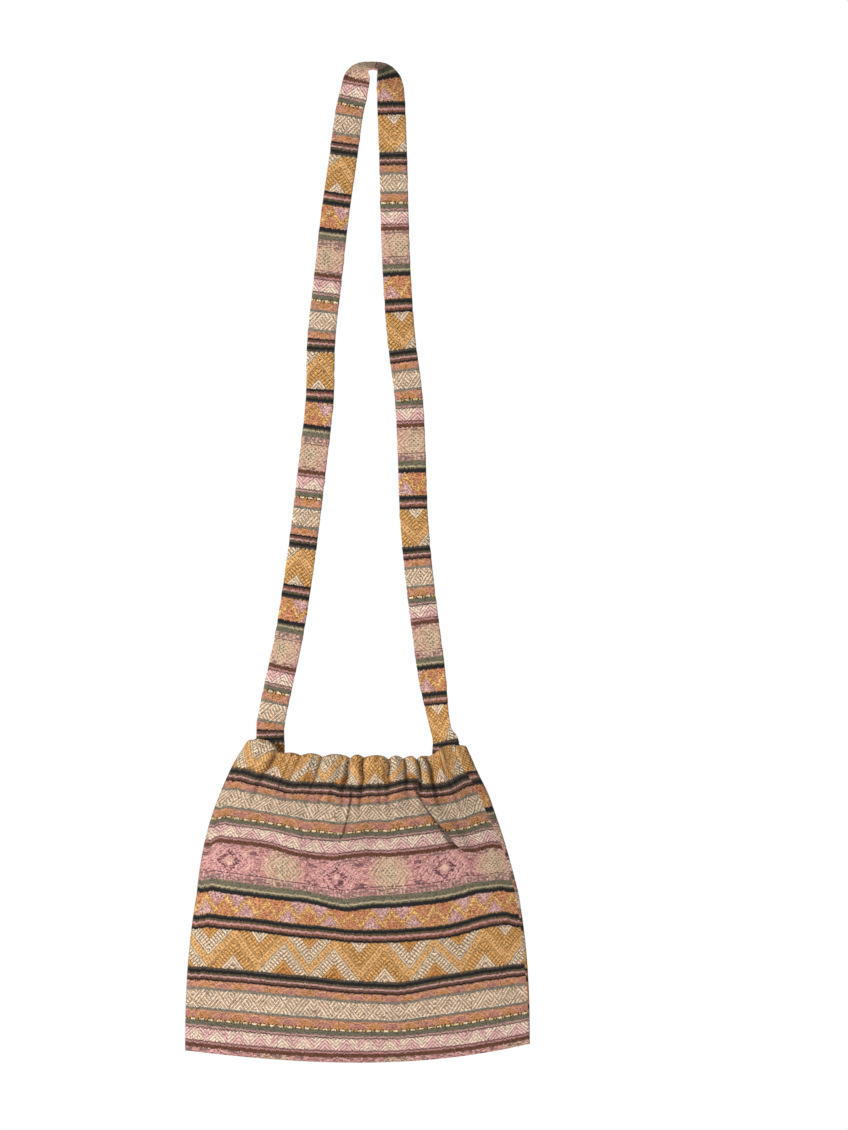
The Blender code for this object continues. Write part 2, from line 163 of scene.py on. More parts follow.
class Weave:
    # short words for the nodes of one material
    def __init__(self, name, roughness):
        self.material = bpy.data.materials.new(name)
        self.material.use_nodes = True
        self.tree = self.material.node_tree
        self.shader = self.tree.nodes["Principled BSDF"]
        self.shader.inputs["Roughness"].default_value = roughness
        self.shader.inputs["Specular IOR Level"].default_value = 0.25

    def plug(self, value, socket):
        if isinstance(value, bpy.types.NodeSocket):
            self.tree.links.new(value, socket)
        else:
            socket.default_value = value

    def calc(self, operation, *values):
        node = self.tree.nodes.new("ShaderNodeMath")
        node.operation = operation
        for value, socket in zip(values, node.inputs):
            self.plug(value, socket)
        return node.outputs[0]

    def lower(self, value, limit):
        return self.calc("LESS_THAN", value, limit)

    def higher(self, value, limit):
        return self.calc("GREATER_THAN", value, limit)

    def near(self, value, middle, reach):
        return self.calc("COMPARE", value, middle, reach)

    def every(self, value, pitch):
        return self.calc("FRACT", self.calc("DIVIDE", value, pitch))

    def isOdd(self, count):
        return self.calc("FLOORED_MODULO", count, 2.0)

    def choose(self, flag, first, second):
        # the first value where the flag is 1, the second where it is 0
        return self.calc("ADD", self.calc("MULTIPLY", first, flag),
                         self.calc("MULTIPLY", second, self.calc("SUBTRACT", 1.0, flag)))

    def ribs(self, value, pitch):
        return self.calc("ABSOLUTE", self.calc("SINE", self.calc("MULTIPLY", value, math.pi / pitch)))

    def tint(self, share, first, second, way="MIX"):
        node = self.tree.nodes.new("ShaderNodeMix")
        node.data_type = "RGBA"
        node.blend_type = way
        self.plug(share, node.inputs[0])
        for value, socket in ((first, node.inputs[6]), (second, node.inputs[7])):
            self.plug((*linear(value), 1) if isinstance(value, tuple) else value, socket)
        return node.outputs[2]

    def ramp(self, value, stops):
        node = self.tree.nodes.new("ShaderNodeValToRGB")
        node.color_ramp.interpolation = "CONSTANT"
        self.plug(value, node.inputs[0])
        points = node.color_ramp.elements
        for index, (place, colour) in enumerate(stops):
            point = points[index] if index < 2 else points.new(place)
            point.position = place
            point.color = (*linear(colour), 1)
        return node.outputs[0]

    def joined(self, *parts):
        node = self.tree.nodes.new("ShaderNodeCombineXYZ")
        for part, socket in zip(parts, node.inputs):
            self.plug(part, socket)
        return node.outputs[0]

    def cells(self, *parts):
        # an even random number for each cell
        node = self.tree.nodes.new("ShaderNodeTexWhiteNoise")
        node.noise_dimensions = "2D" if len(parts) == 2 else "1D"
        if len(parts) == 1:
            self.plug(parts[0], node.inputs["W"])
        else:
            self.plug(self.joined(*parts), node.inputs["Vector"])
        return node.outputs["Value"]

    def cloud(self, place, scale):
        node = self.tree.nodes.new("ShaderNodeTexNoise")
        node.inputs["Scale"].default_value = scale
        node.inputs["Detail"].default_value = 2.0
        self.plug(place, node.inputs["Vector"])
        return node.outputs[0]

    def bump(self, height, distance, strength):
        node = self.tree.nodes.new("ShaderNodeBump")
        node.inputs["Distance"].default_value = distance
        node.inputs["Strength"].default_value = strength
        self.plug(height, node.inputs["Height"])
        self.plug(node.outputs[0], self.shader.inputs["Normal"])


# The striped cloth, in millimetres of cloth. A tone is a factor on a random number and what is added.
threads = {
    "width": 0.62, "row": 0.4, "teeth": 1.2, "fleck": (1.25, 0.8), "cell": (1.05, 0.75),
    "cellTone": (0.36, 0.77), "warpShare": 0.18, "warpTone": -0.34, "wear": 0.035,
    "wearTone": (0.2, 0.9), "ribPitch": 0.7, "warpPitch": 0.9, "cellHeight": 0.8,
    "sheen": 0.05, "sheenRoughness": 0.5, "roughness": 0.82,
    # the last two paint shade into the folds: its strength and its colour
    "paintedShadeStrength": 0.52, "paintedShadeColour": (44, 28, 18),
}


class StripedCloth(Weave):
    # shift moves the motifs sideways
    def __init__(self, name, shift):
        super().__init__(name, threads["roughness"])
        self.shader.inputs["Sheen Weight"].default_value = threads["sheen"]
        self.shader.inputs["Sheen Roughness"].default_value = threads["sheenRoughness"]
        uv = self.tree.nodes.new("ShaderNodeUVMap")
        uv.uv_map = "cloth"
        split = self.tree.nodes.new("ShaderNodeSeparateXYZ")
        self.plug(uv.outputs[0], split.inputs[0])
        self.flatU = self.calc("MULTIPLY_ADD", split.outputs[0], 1000.0, shift)
        self.flatV = self.calc("MULTIPLY", split.outputs[1], 1000.0)
        # u steps from thread to thread, v from row to row, and toothed is v with uneven stripe edges
        self.u = self.calc("SNAP", self.flatU, threads["width"])
        row = self.calc("SNAP", self.flatV, threads["row"])
        tooth = self.calc("MULTIPLY_ADD", self.cells(self.u), threads["teeth"], -threads["teeth"] / 2)
        self.v = self.calc("WRAP", row, clothRepeat, 0.0)
        self.toothed = self.calc("WRAP", self.calc("ADD", row, tooth), clothRepeat, 0.0)
        self.fleck = self.grains(*threads["fleck"])

    def grains(self, width, height):
        return self.cells(self.calc("SNAP", self.flatU, width), self.calc("SNAP", self.flatV, height))

    def inBand(self, key):
        top, bottom, _ = bands[key]
        return self.near(self.toothed, (top + bottom) / 2, (bottom - top) / 2)

    def fromTop(self, key):
        return self.calc("SUBTRACT", self.v, bands[key][0])

    def flecked(self, plain, light, deep):
        lit = self.tint(self.higher(self.fleck, 0.70), plain, light)
        return self.tint(self.lower(self.fleck, 0.30), lit, deep)


# The big zigzag ribbon. Its triangles nest in rings, with rungs across them.
zigzag = {
    "half": 22.2, "start": 131.7, "slope": 1.15, "low": 27.2, "rung": 4.1, "rungShare": 0.36,
    "goldEvery": 5.0, "gold": (1.5, 0.6), "nest": 28.0,
    # by distance from the ribbon's middle: pale triangles, their rungs, gold triangles, their rungs
    "rings": (
        (0.0, ((218, 168, 108), (170, 106, 52), (218, 168, 108), (170, 106, 52))),
        (1.5, ((214, 172, 116), (200, 150, 92), (214, 172, 116), (200, 150, 92))),
        (4.2, ((126, 98, 76), (126, 98, 76), (140, 92, 48), (140, 92, 48))),
        (5.2, ((224, 204, 174), (222, 198, 168), (208, 160, 98), (198, 148, 90))),
        (6.7, ((138, 114, 96), (138, 114, 96), (146, 96, 50), (146, 96, 50))),
        (7.6, ((228, 208, 178), (132, 100, 70), (214, 166, 102), (150, 98, 46))),
        (12.4, ((138, 110, 88), (138, 110, 88), (142, 94, 48), (142, 94, 48))),
        (13.3, ((226, 204, 174), (136, 102, 72), (210, 162, 98), (150, 98, 48))),
        (17.6, ((150, 96, 48), (150, 96, 48), (138, 108, 84), (138, 108, 84))),
        (18.6, ((210, 158, 94), (206, 148, 78), (230, 206, 178), (218, 192, 160))),
        (20.8, ((128, 82, 44), (128, 82, 44), (146, 120, 98), (146, 120, 98))),
        (21.8, ((200, 144, 82), (190, 128, 64), (226, 200, 172), (206, 178, 150))),
        (24.6, ((124, 78, 42), (124, 78, 42), (138, 110, 88), (138, 110, 88))),
        (25.8, ((196, 134, 66), (150, 96, 48), (222, 196, 166), (150, 122, 98))),
    ),
}


def drawZigzag(w, key):
    down = w.fromTop(key)
    along = w.calc("ADD", w.u, zigzag["start"])
    tri = w.calc("PINGPONG", along, zigzag["half"])
    off = w.calc("SUBTRACT", w.calc("MULTIPLY_ADD", tri, zigzag["slope"], down), zigzag["low"])
    reach = w.calc("DIVIDE", w.calc("ABSOLUTE", off), zigzag["nest"])
    flank = w.calc("MULTIPLY_ADD", down, -zigzag["slope"], tri)
    ladder = w.lower(w.every(flank, zigzag["rung"]), zigzag["rungShare"])
    turns = w.calc("DIVIDE", along, 2 * zigzag["half"])
    # the triangles above and below the ribbon are counted in turn, and some are gold
    upper = w.calc("MULTIPLY", w.calc("ROUND", turns), 2.0)
    under = w.calc("MULTIPLY_ADD", w.calc("FLOOR", turns), 2.0, 1.0)
    count = w.calc("FLOORED_MODULO", w.choose(w.lower(off, 0.0), upper, under), zigzag["goldEvery"])
    pale, paleRung, gold, goldRung = (
        w.ramp(reach, [(place / zigzag["nest"], colours[kind]) for place, colours in zigzag["rings"]])
        for kind in range(4))
    return w.tint(w.near(count, *zigzag["gold"]), w.tint(ladder, pale, paleRung),
                  w.tint(ladder, gold, goldRung))


# The small peaks: a thin gold zigzag between lilac and rust triangles.
peaks = {
    "half": 9.5, "start": 139.2, "slope": 1.35, "top": 3.0,
    "ribbon": 2.7, "edge": 3.5, "line": (6.2, 0.5),
    # plain, light and deep threads
    "lilac": ((194, 148, 142), (218, 184, 176), (166, 116, 116)),
    "rust": ((194, 128, 90), (212, 156, 104), (160, 92, 64)),
    "gold": ((208, 154, 86), (228, 190, 128), (164, 108, 54)),
    "edgeColour": (160, 108, 76), "lineColour": (186, 128, 96),
}


def drawPeaks(w, key):
    along = w.calc("ADD", w.u, peaks["start"])
    tri = w.calc("PINGPONG", along, peaks["half"])
    off = w.calc("SUBTRACT", w.fromTop(key), w.calc("MULTIPLY_ADD", tri, peaks["slope"], peaks["top"]))
    reach = w.calc("ABSOLUTE", off)
    under = w.isOdd(w.calc("ROUND", w.calc("DIVIDE", along, 2 * peaks["half"])))
    upper = w.isOdd(w.calc("FLOOR", w.calc("DIVIDE", along, 4 * peaks["half"])))
    isRust = w.choose(w.higher(off, 0.0), under, upper)
    drawn = w.tint(isRust, w.flecked(*peaks["lilac"]), w.flecked(*peaks["rust"]))
    drawn = w.tint(w.near(reach, *peaks["line"]), drawn, peaks["lineColour"])
    drawn = w.tint(w.lower(reach, peaks["edge"]), drawn, peaks["edgeColour"])
    return w.tint(w.lower(reach, peaks["ribbon"]), drawn, w.flecked(*peaks["gold"]))


# Slanting strokes, mirrored now and then. Some lie in bundles that lean the other way: the pitch of
# the bundles and of the gaps in them is in strokes.
strokes = {
    "pitch": 3.4, "slope": 0.8, "mirror": 105.0, "mirrorStart": 38.0,
    "bundle": 5.3, "bundleShare": 0.62, "gap": 8.1, "gapShare": 0.16,
    "colours": ((0.0, (234, 214, 192)), (0.42, (126, 98, 76)), (0.56, (196, 160, 122)),
                (0.84, (134, 104, 82))),
}


def drawStrokes(w, key):
    pitch = strokes["pitch"]
    side = w.calc("PINGPONG", w.calc("ADD", w.u, strokes["mirrorStart"]), strokes["mirror"])
    rising, falling = (w.calc("MULTIPLY_ADD", w.fromTop(key), slope, side)
                       for slope in (strokes["slope"], -strokes["slope"]))
    bundle = w.calc("MULTIPLY",
                    w.lower(w.every(falling, strokes["bundle"] * pitch), strokes["bundleShare"]),
                    w.higher(w.every(rising, strokes["gap"] * pitch), strokes["gapShare"]))
    return w.ramp(w.every(w.choose(bundle, falling, rising), pitch), strokes["colours"])


# Domes of orange and of pink in turn, woven with a deeper thread in each row.
domes = {
    "pitch": 29.5, "height": 4.6, "top": 1.0, "rim": 0.4, "row": 1.2, "ragged": 0.8,
    "orange": ((200, 140, 92), (172, 114, 74)), "pink": ((190, 132, 116), (162, 104, 92)),
    "ground": ((198, 142, 110), (174, 116, 90)), "rimColour": (206, 156, 120),
}


def drawDomes(w, key):
    half = domes["pitch"] / 4
    arch = w.calc("POWER", w.calc("DIVIDE", w.calc("PINGPONG", w.u, half), half), 2.0)
    inside = w.calc("SUBTRACT", w.fromTop(key),
                    w.calc("MULTIPLY_ADD", arch, domes["height"], domes["top"]))
    isPink = w.lower(w.every(w.calc("ADD", w.u, half), domes["pitch"]), 0.5)
    ragged = w.calc("ADD", w.flatV, w.calc("MULTIPLY", w.fleck, domes["ragged"]))
    deep = w.lower(w.every(ragged, domes["row"]), 0.5)
    dome = w.tint(isPink, w.tint(deep, *domes["orange"]), w.tint(deep, *domes["pink"]))
    drawn = w.tint(w.higher(inside, 0.0), w.tint(deep, *domes["ground"]), dome)
    return w.tint(w.near(inside, 0.0, domes["rim"]), drawn, domes["rimColour"])


# Cream and gold dashes under a row of short dark ones.
dashes = {
    "pitch": 7.6, "dark": 3.4, "darkShare": 0.62, "darkDepth": 0.9,
    "darkColours": ((206, 142, 84), (88, 62, 42)),
    "colours": ((0.0, (232, 216, 180)), (0.50, (92, 66, 40)), (0.64, (196, 150, 82)),
                (0.86, (92, 66, 40))),
}


def drawDashes(w, key):
    long = w.ramp(w.every(w.u, dashes["pitch"]), dashes["colours"])
    short = w.tint(w.lower(w.every(w.u, dashes["dark"]), dashes["darkShare"]), *dashes["darkColours"])
    return w.tint(w.lower(w.fromTop(key), dashes["darkDepth"]), long, short)


# Nested chevrons, in patches of cream and of pink.
chevrons = {
    "half": 9.3, "slope": 1.05, "pitch": 3.3, "lineShare": 0.5, "patch": (3, 4),
    "ground": ((236, 218, 198), (226, 192, 180)), "lines": ((200, 164, 142), (190, 134, 134)),
}


def drawChevrons(w, key):
    tri = w.calc("PINGPONG", w.flatU, chevrons["half"])
    nest = w.calc("MULTIPLY_ADD", tri, chevrons["slope"], w.fromTop(key))
    lines = w.lower(w.every(nest, chevrons["pitch"]), chevrons["lineShare"])
    deep, wide = chevrons["patch"]
    layer = w.isOdd(w.calc("FLOOR", w.calc("DIVIDE", nest, deep * chevrons["pitch"])))
    patch = w.isOdd(w.calc("FLOOR", w.calc("DIVIDE", w.u, wide * chevrons["half"])))
    isPink = w.near(layer, patch, 0.1)
    return w.tint(lines, w.tint(isPink, *chevrons["ground"]), w.tint(isPink, *chevrons["lines"]))


# Eyes on mottled pink. A reach of 1 is the eye's own rim, and the lattice is what rays and lenses show.
eyes = {
    "pitch": 103.0, "start": 18.0, "middle": 13.5, "width": 11.5, "height": 8.6, "ragged": 0.42,
    "rays": 2.1, "lashes": (1.45, 0.06), "iris": 0.98, "white": 0.55, "pupil": 0.30,
    "grain": (2.2, 0.8), "lattice": 3.9, "latticeSlope": 1.1, "latticeShare": 0.44,
    "pink": (196, 140, 132), "deepPink": (164, 108, 108), "lightPink": (216, 174, 158),
    "rayColours": ((204, 144, 140), (216, 170, 160)), "dark": ((108, 68, 74), (196, 138, 134)),
    "whiteColour": (206, 146, 142), "pupilColour": (220, 184, 164),
}
# The lenses between the eyes: a lattice in the heart and nested diamonds around it.
lens = {
    "size": 19.5, "slope": 0.75, "ragged": 7.0, "core": 9.0, "heart": 6.5,
    "nest": 4.0, "nestSlope": 1.05, "nestShare": 0.46,
    "colours": ((190, 142, 128), (208, 182, 150)), "heartColour": (140, 122, 104),
}
# Small marks around the eyes: loose ones at the band's edges, two spots beside each eye, a dotted
# line and a row of hooks.
marks = {
    "loose": 10.6, "looseGrain": (3.1, 1.2), "looseShare": 0.34, "looseColour": (142, 108, 104),
    "spotAcross": (24.0, 4.4), "spotDown": (7.6, 1.7), "spotShare": 0.72, "spotColour": (132, 92, 94),
    "dots": (22.6, 0.45), "dotShare": 0.8, "dotColour": (104, 70, 74),
    "hooks": 24.2, "hookPitch": 3.6, "hookShare": 0.45, "hookTint": 0.6, "hookColour": (122, 104, 96),
}


def drawEyes(w, key):
    down = w.calc("ABSOLUTE", w.calc("SUBTRACT", w.fromTop(key), eyes["middle"]))
    off = w.calc("PINGPONG", w.calc("ADD", w.u, eyes["start"]), eyes["pitch"] / 2)
    grain = w.grains(*eyes["grain"])
    rough = w.calc("SUBTRACT", grain, 0.5)
    falling, rising = (
        w.lower(w.every(w.calc("MULTIPLY_ADD", w.flatV, slope, w.flatU), eyes["lattice"]),
                eyes["latticeShare"]) for slope in (eyes["latticeSlope"], -eyes["latticeSlope"]))
    reach = w.calc("ADD", w.calc("DIVIDE", off, eyes["width"]), w.calc("DIVIDE", down, eyes["height"]))
    reach = w.calc("MULTIPLY_ADD", rough, eyes["ragged"], reach)
    dark = w.tint(w.higher(grain, 0.70), *eyes["dark"])
    drawn = w.tint(w.lower(grain, 0.26), eyes["pink"], eyes["deepPink"])
    drawn = w.tint(w.higher(grain, 0.84), drawn, eyes["lightPink"])
    drawn = w.tint(w.lower(reach, eyes["rays"]), drawn, w.tint(falling, *eyes["rayColours"]))
    drawn = w.tint(w.near(reach, *eyes["lashes"]), drawn, dark)
    drawn = w.tint(w.lower(reach, eyes["iris"]), drawn, dark)
    drawn = w.tint(w.lower(reach, eyes["white"]), drawn, eyes["whiteColour"])
    drawn = w.tint(w.lower(reach, eyes["pupil"]), drawn, eyes["pupilColour"])
    drawn = drawLenses(w, drawn, w.calc("SUBTRACT", eyes["pitch"] / 2, off), down, rough,
                       w.calc("MAXIMUM", falling, rising))
    return drawMarks(w, drawn, off, down, grain, w.fromTop(key))


def drawLenses(w, drawn, off, down, rough, lattice):
    size = w.calc("MULTIPLY_ADD", rough, lens["ragged"],
                  w.calc("MULTIPLY_ADD", down, lens["slope"], off))
    nest = w.calc("MULTIPLY_ADD", down, lens["nestSlope"], off)
    diamonds = w.lower(w.every(nest, lens["nest"]), lens["nestShare"])
    cloth = w.tint(w.choose(w.higher(size, lens["core"]), diamonds, lattice), *lens["colours"])
    heart = w.calc("MULTIPLY", w.lower(size, lens["heart"]), w.lower(lattice, 0.5))
    cloth = w.tint(heart, cloth, lens["heartColour"])
    return w.tint(w.lower(size, lens["size"]), drawn, cloth)


def drawMarks(w, drawn, off, down, grain, fromEyes):
    loose = w.calc("MULTIPLY", w.higher(down, marks["loose"]),
                   w.lower(w.grains(*marks["looseGrain"]), marks["looseShare"]))
    drawn = w.tint(loose, drawn, marks["looseColour"])
    spots = w.calc("MULTIPLY", w.near(off, *marks["spotAcross"]), w.near(down, *marks["spotDown"]))
    spots = w.calc("MULTIPLY", spots, w.lower(grain, marks["spotShare"]))
    drawn = w.tint(spots, drawn, marks["spotColour"])
    dots = w.calc("MULTIPLY", w.near(fromEyes, *marks["dots"]), w.lower(w.fleck, marks["dotShare"]))
    drawn = w.tint(dots, drawn, marks["dotColour"])
    hooks = w.calc("MULTIPLY", w.higher(fromEyes, marks["hooks"]),
                   w.lower(w.every(w.u, marks["hookPitch"]), marks["hookShare"]))
    return w.tint(w.calc("MULTIPLY", hooks, marks["hookTint"]), drawn, marks["hookColour"])


def shadeThreads(w, colour, cell):
    # each thread is a little lighter or darker, the warp shows here and there, and the cloth is worn
    tone = w.calc("MULTIPLY_ADD", w.lower(cell, threads["warpShare"]), threads["warpTone"],
                  w.calc("MULTIPLY_ADD", cell, *threads["cellTone"]))
    wear = w.cloud(w.joined(w.flatU, w.flatV), threads["wear"])
    tone = w.calc("MULTIPLY", tone, w.calc("MULTIPLY_ADD", wear, *threads["wearTone"]))
    return w.tint(1.0, colour, w.joined(tone, tone, tone), "MULTIPLY")


def paintShadeInFolds(w, colour):
    # painted shade from the fold attribute: in the valleys of the gathers, in the creases, just under the
    # casing and along the pleats
    fold = w.tree.nodes.new("ShaderNodeAttribute")
    fold.attribute_name = "fold"
    return w.tint(w.calc("MULTIPLY", fold.outputs["Fac"], threads["paintedShadeStrength"]), colour,
                  threads["paintedShadeColour"])


def stripedCloth(name, shift):
    w = StripedCloth(name, shift)
    colour = w.ramp(w.calc("DIVIDE", w.toothed, clothRepeat),
                    [(top / clothRepeat, ground) for top, _, ground in bands.values()])
    for key, draw in (("zigzag", drawZigzag), ("peaks", drawPeaks), ("strokes", drawStrokes),
                      ("domesC", drawDomes), ("domesG", drawDomes), ("dashes", drawDashes),
                      ("chevrons", drawChevrons), ("eyes", drawEyes)):
        colour = w.tint(w.inBand(key), colour, draw(w, key))
    cell = w.grains(*threads["cell"])
    w.plug(paintShadeInFolds(w, shadeThreads(w, colour, cell)), w.shader.inputs["Base Color"])
    # weft ribs with warp threads across them
    weave = w.calc("MULTIPLY", w.ribs(w.flatV, threads["ribPitch"]), w.ribs(w.flatU, threads["warpPitch"]))
    w.bump(w.calc("ADD", weave, w.calc("MULTIPLY", cell, threads["cellHeight"])), 0.00022, 0.8)
    return w.material


def plainThread(name, colour, roughness):
    w = Weave(name, roughness)
    place = w.tree.nodes.new("ShaderNodeTexCoord").outputs["Object"]
    grain = w.cloud(place, 2600.0)
    dark = tuple(round(c * 0.7) for c in colour)
    w.plug(w.tint(grain, dark, colour), w.shader.inputs["Base Color"])
    w.bump(grain, 0.0001, 0.6)
    return w.material


def knittedBand(name):
    w = Weave(name, 0.85)
    place = w.tree.nodes.new("ShaderNodeTexCoord").outputs["Object"]
    split = w.tree.nodes.new("ShaderNodeSeparateXYZ")
    w.plug(place, split.inputs[0])
    rib = w.ribs(split.outputs[2], 0.0014)
    # the grooves between the ribs are painted darker, as shade, and the crests lighter
    w.plug(w.tint(rib, (186, 180, 170), (236, 232, 224)), w.shader.inputs["Base Color"])
    w.bump(w.calc("ADD", rib, w.cloud(place, 1800.0)), 0.0003, 0.8)
    return w.material


clothMaterial = stripedCloth("striped_cloth", 0.0)
strapMaterial = stripedCloth("striped_strap", 133.2)
threadMaterial = plainThread("brown_thread", (92, 70, 52), 0.7)
elasticMaterial = knittedBand("white_elastic")
print("materials made")


# Bag cloth

bag = {
    "width": 0.300, "depth": 0.2706, "thickness": 0.0009, "foldRadius": 0.0019, "belly": 0.0125,
    "mouthWidth": 0.190, "mouthEndRadius": 0.0054, "casing": 0.0250, "hem": 0.0290,
    "ruffleOut": 0.0078, "ruffleIn": 0.0020, "ruffleLift": 0.0036, "ruffleFade": 0.0480,
    "spread": 2.45, "hemInset": 0.0038, "hemGap": 0.0003, "hemTop": 0.0024, "strapDrop": 0.5835,
    "mouthOffset": -0.0139, "drift": 0.0042, "mouthSag": 0.0152, "backSag": 0.0020,
    "bottomSag": 0.0133, "mouthLean": 0.0049, "bottomLean": 0.0057, "hang": 0.9875,
    "smoothEnd": 0.3, "clothTop": 0.0252, "humpLength": 1.28, "mouthCloth": 0.004,
    "flapAnchors": (-0.60, 0.20, 0.80), "backUp": 0.0085, "cornerDrop": 0.0022,
    "leftBulge": -0.0004, "rightBulge": 0.0030, "bulgeStart": (0.020, 0.050),
    "bulgeEnd": (0.075, 0.150), "flap": 0.20, "recess": 0.0010, "pressTop": 0.0204,
    "seamReach": 0.22, "gatherFoot": 0.6, "gatherRound": 0.75,
}
# Rows of the cloth's grid from the raw edge inside down to the bottom fold, and its columns on a side.
grid = {"columns": 232, "hem": 9, "mouth": 7, "casing": 12, "body": 52, "bottom": (30, 60, 90)}
# Creases under the stitches and waves of the hanging cloth: height, then how often across and down.
# The dark creases are only a shade.
creases = {
    "fine": (0.0015, 24, 16), "sharp": (0.0016, 15, 14), "slow": (0.0016, 3.1, 9),
    "row": (0.0014, 9, 14), "sway": (0.0020, 4, 75), "dark": (0.55, 13, 22), "fade": 0.050,
}
# Shade in the valleys, on the cloth under the casing, and on and under the edges of the pleats.
shades = {"valley": 0.024, "upper": 0.30, "edgeLine": (0.010, 0.024), "underLine": (0.054, 0.072)}
# Valleys between the gathers: share of the cloth, share of the mouth, depth on the front and the back.
valleys = (
    (-0.861, -0.807, 0.4, 0.8), (-0.786, -0.697, 0.8, 0.3), (-0.566, -0.495, 0.4, 1.0),
    (-0.367, -0.312, 0.9, 0.6), (-0.097, -0.064, 1.0, 0.9), (0.042, 0.064, 0.8, 0.4),
    (0.281, 0.284, 1.0, 1.0), (0.420, 0.413, 0.8, 0.5), (0.551, 0.532, 1.0, 0.9),
    (0.650, 0.624, 1.0, 0.4),
)
# The two pleats: share of the cloth, side of the flap, length, rise, overhang, painted shadow line at the
# edge.
pleats = ((-0.097, -1, 0.050, 0.0016, 0.0006, 0.0), (0.551, 1, 0.070, 0.0046, 0.0030, 1.45))
# How full the belly is by share of the depth.
bellyShape = ((0.0, 0.72), (0.30, 1.0), (0.60, 0.85), (0.85, 0.36), (1.0, 0.0))
# The folded edges of the two pleats: drop from the mouth, share of the cloth.
creaseLeft = ((0.025, -0.050), (0.033, -0.046), (0.056, -0.058), (0.082, -0.094), (0.100, -0.115))
creaseRight = ((0.025, 0.530), (0.032, 0.525), (0.042, 0.545), (0.053, 0.588), (0.064, 0.630),
               (0.076, 0.672), (0.085, 0.692), (0.095, 0.730))
# Lift of the front in millimetres: drop from the mouth, then at each share across the bag.
liftShares = (-1.0, -0.85, -0.6, -0.35, -0.15, -0.05, 0.1, 0.25, 0.4, 0.53, 0.57, 0.75, 1.0)
frontLifts = (
    (0.010, (0, 0, 0, 0, 0, 0, 0, 0, 0, 0, 0, 0, 0)),
    (0.030, (1.5, 1.5, 1.2, 3.2, 4.0, 3.0, 3.7, 4.7, 6.0, 5.5, -0.5, -3.0, 1.5)),
    (0.062, (3.0, 4.5, 6.0, 4.5, 3.8, 4.5, 6.0, 6.0, 7.0, 8.0, 0.0, -1.0, 2.0)),
    (0.092, (5.0, 7.0, 9.2, 5.0, 3.8, 5.5, 7.6, 7.0, 7.6, 8.4, 3.5, 2.0, 3.5)),
    (0.132, (4.5, 3.6, 4.3, 4.4, 0.6, -1.6, 1.0, 1.5, 2.2, 5.0, 5.5, 5.0, 3.5)),
    (0.158, (3.9, 4.1, 6.0, 4.9, 4.2, 2.8, 2.0, 2.1, 2.2, 5.2, 5.8, 6.3, 4.6)),
    (0.204, (1.2, 2.0, 3.8, 3.6, 2.0, 0.9, -0.3, -1.5, 2.2, 2.9, 2.8, 2.2, 1.6)),
    (0.2687, (0, 0, 0, 0, 0, 0, 0, 0, 0, 0, 0, 0, 0)),
)
# How far the right seam shows on the front, by share of the depth.
seamTurn = ((0.0, 0.0165), (0.10, 0.0125), (0.22, 0.0085), (0.36, 0.0040), (0.75, 0.0036),
            (0.97, 0.0016), (1.0, 0.0))


def endRadius(drop):
    return mix(bag["mouthEndRadius"], bag["foldRadius"], ease(bag["casing"], 2.6 * bag["casing"], drop))


def halfWidth(drop):
    spread = 1 - (1 - min(1.0, drop / bag["depth"])) ** bag["spread"]
    return mix(bag["mouthWidth"], bag["width"], spread) / 2


def middleX(drop):
    share = min(1.0, 2 * drop / bag["depth"])
    return bag["mouthOffset"] - bag["drift"] * math.sin(math.pi * share) + 0.1 * bag["drift"] * share


def bulge(across, drop):
    # the shoulders on both sides, which stand out a little under the casing
    down = ease(*bag["bulgeStart"], drop) * (1 - ease(*bag["bulgeEnd"], drop))
    return down * (bag["rightBulge"] if across > 0 else -bag["leftBulge"]) * across * across


def gatheredShare(drop):
    return 1 - ease(0.6 * bag["casing"], 4.2 * bag["casing"], drop)


mouthShares = ((-1.0, -1.0), *(valley[:2] for valley in valleys), (1.0, 1.0))


def clothHeight(across, drop, front):
    down = drop / bag["depth"]
    bowl = 1 - across * across
    rim = 1 - ease(0.60 if across > 0 else 0.68, 0.96, abs(across))
    sag = mix(bag["mouthSag"], bag["bottomSag"], down) + (0 if front else bag["backSag"] * (1 - down))
    shape = mix(rim, bowl, ease(0, bag["casing"], drop))
    lean = mix(-bag["mouthLean"] * across, bag["bottomLean"] * across**3, down) / 2
    return -bag["strapDrop"] - bag["hang"] * drop + lean - sag * shape


def clothShare(turn, drop):
    # share of the cloth at a turn around the bag; on the front the columns follow the two creases
    if turn > 1:
        return 3 - 2 * turn
    base = 2 * turn - 1
    return (base + (smoothTable(creaseLeft, drop) - pleats[0][0]) * hump(base, pleats[0][0], 0.3)
            + (smoothTable(creaseRight, drop) - pleats[1][0]) * hump(base, pleats[1][0], 0.34))


def frontLift(base, drop):
    # how far the stripes of the front stand above an even bowl
    place = stretch([row[0] for row in frontLifts], drop)
    above, under = frontLifts[place - 1], frontLifts[place]
    share = ease(above[0], under[0], drop)
    lifts = [smoothTable(tuple(zip(liftShares, row[1])), base) for row in (above, under)]
    return mix(lifts[0], lifts[1], share) / 1000


def gatherHeights(cloth):
    # height of the gather at a share of the cloth, on the front and on the back
    stops = [(-1.0, -1.0, 1.0, 1.0), *valleys, (1.0, 1.0, 1.0, 1.0)]
    place = next((i for i in range(len(stops) - 2) if cloth < stops[i + 1][0]), len(stops) - 2)
    start, end = stops[place], stops[place + 1]
    peak = bag["smoothEnd"] if place in (0, len(stops) - 2) else 1.0
    share = (cloth - start[0]) / (end[0] - start[0])
    arch = math.sin(math.pi * share) ** bag["gatherRound"]
    heights = []
    for side in (2, 3):
        foot = bag["gatherFoot"] * mix(1 - start[side], 1 - end[side], share)
        heights.append(mix(foot, max(peak, foot), arch))
    return heights


def pressedShare(drop):
    return ease(bag["pressTop"], bag["casing"], drop)


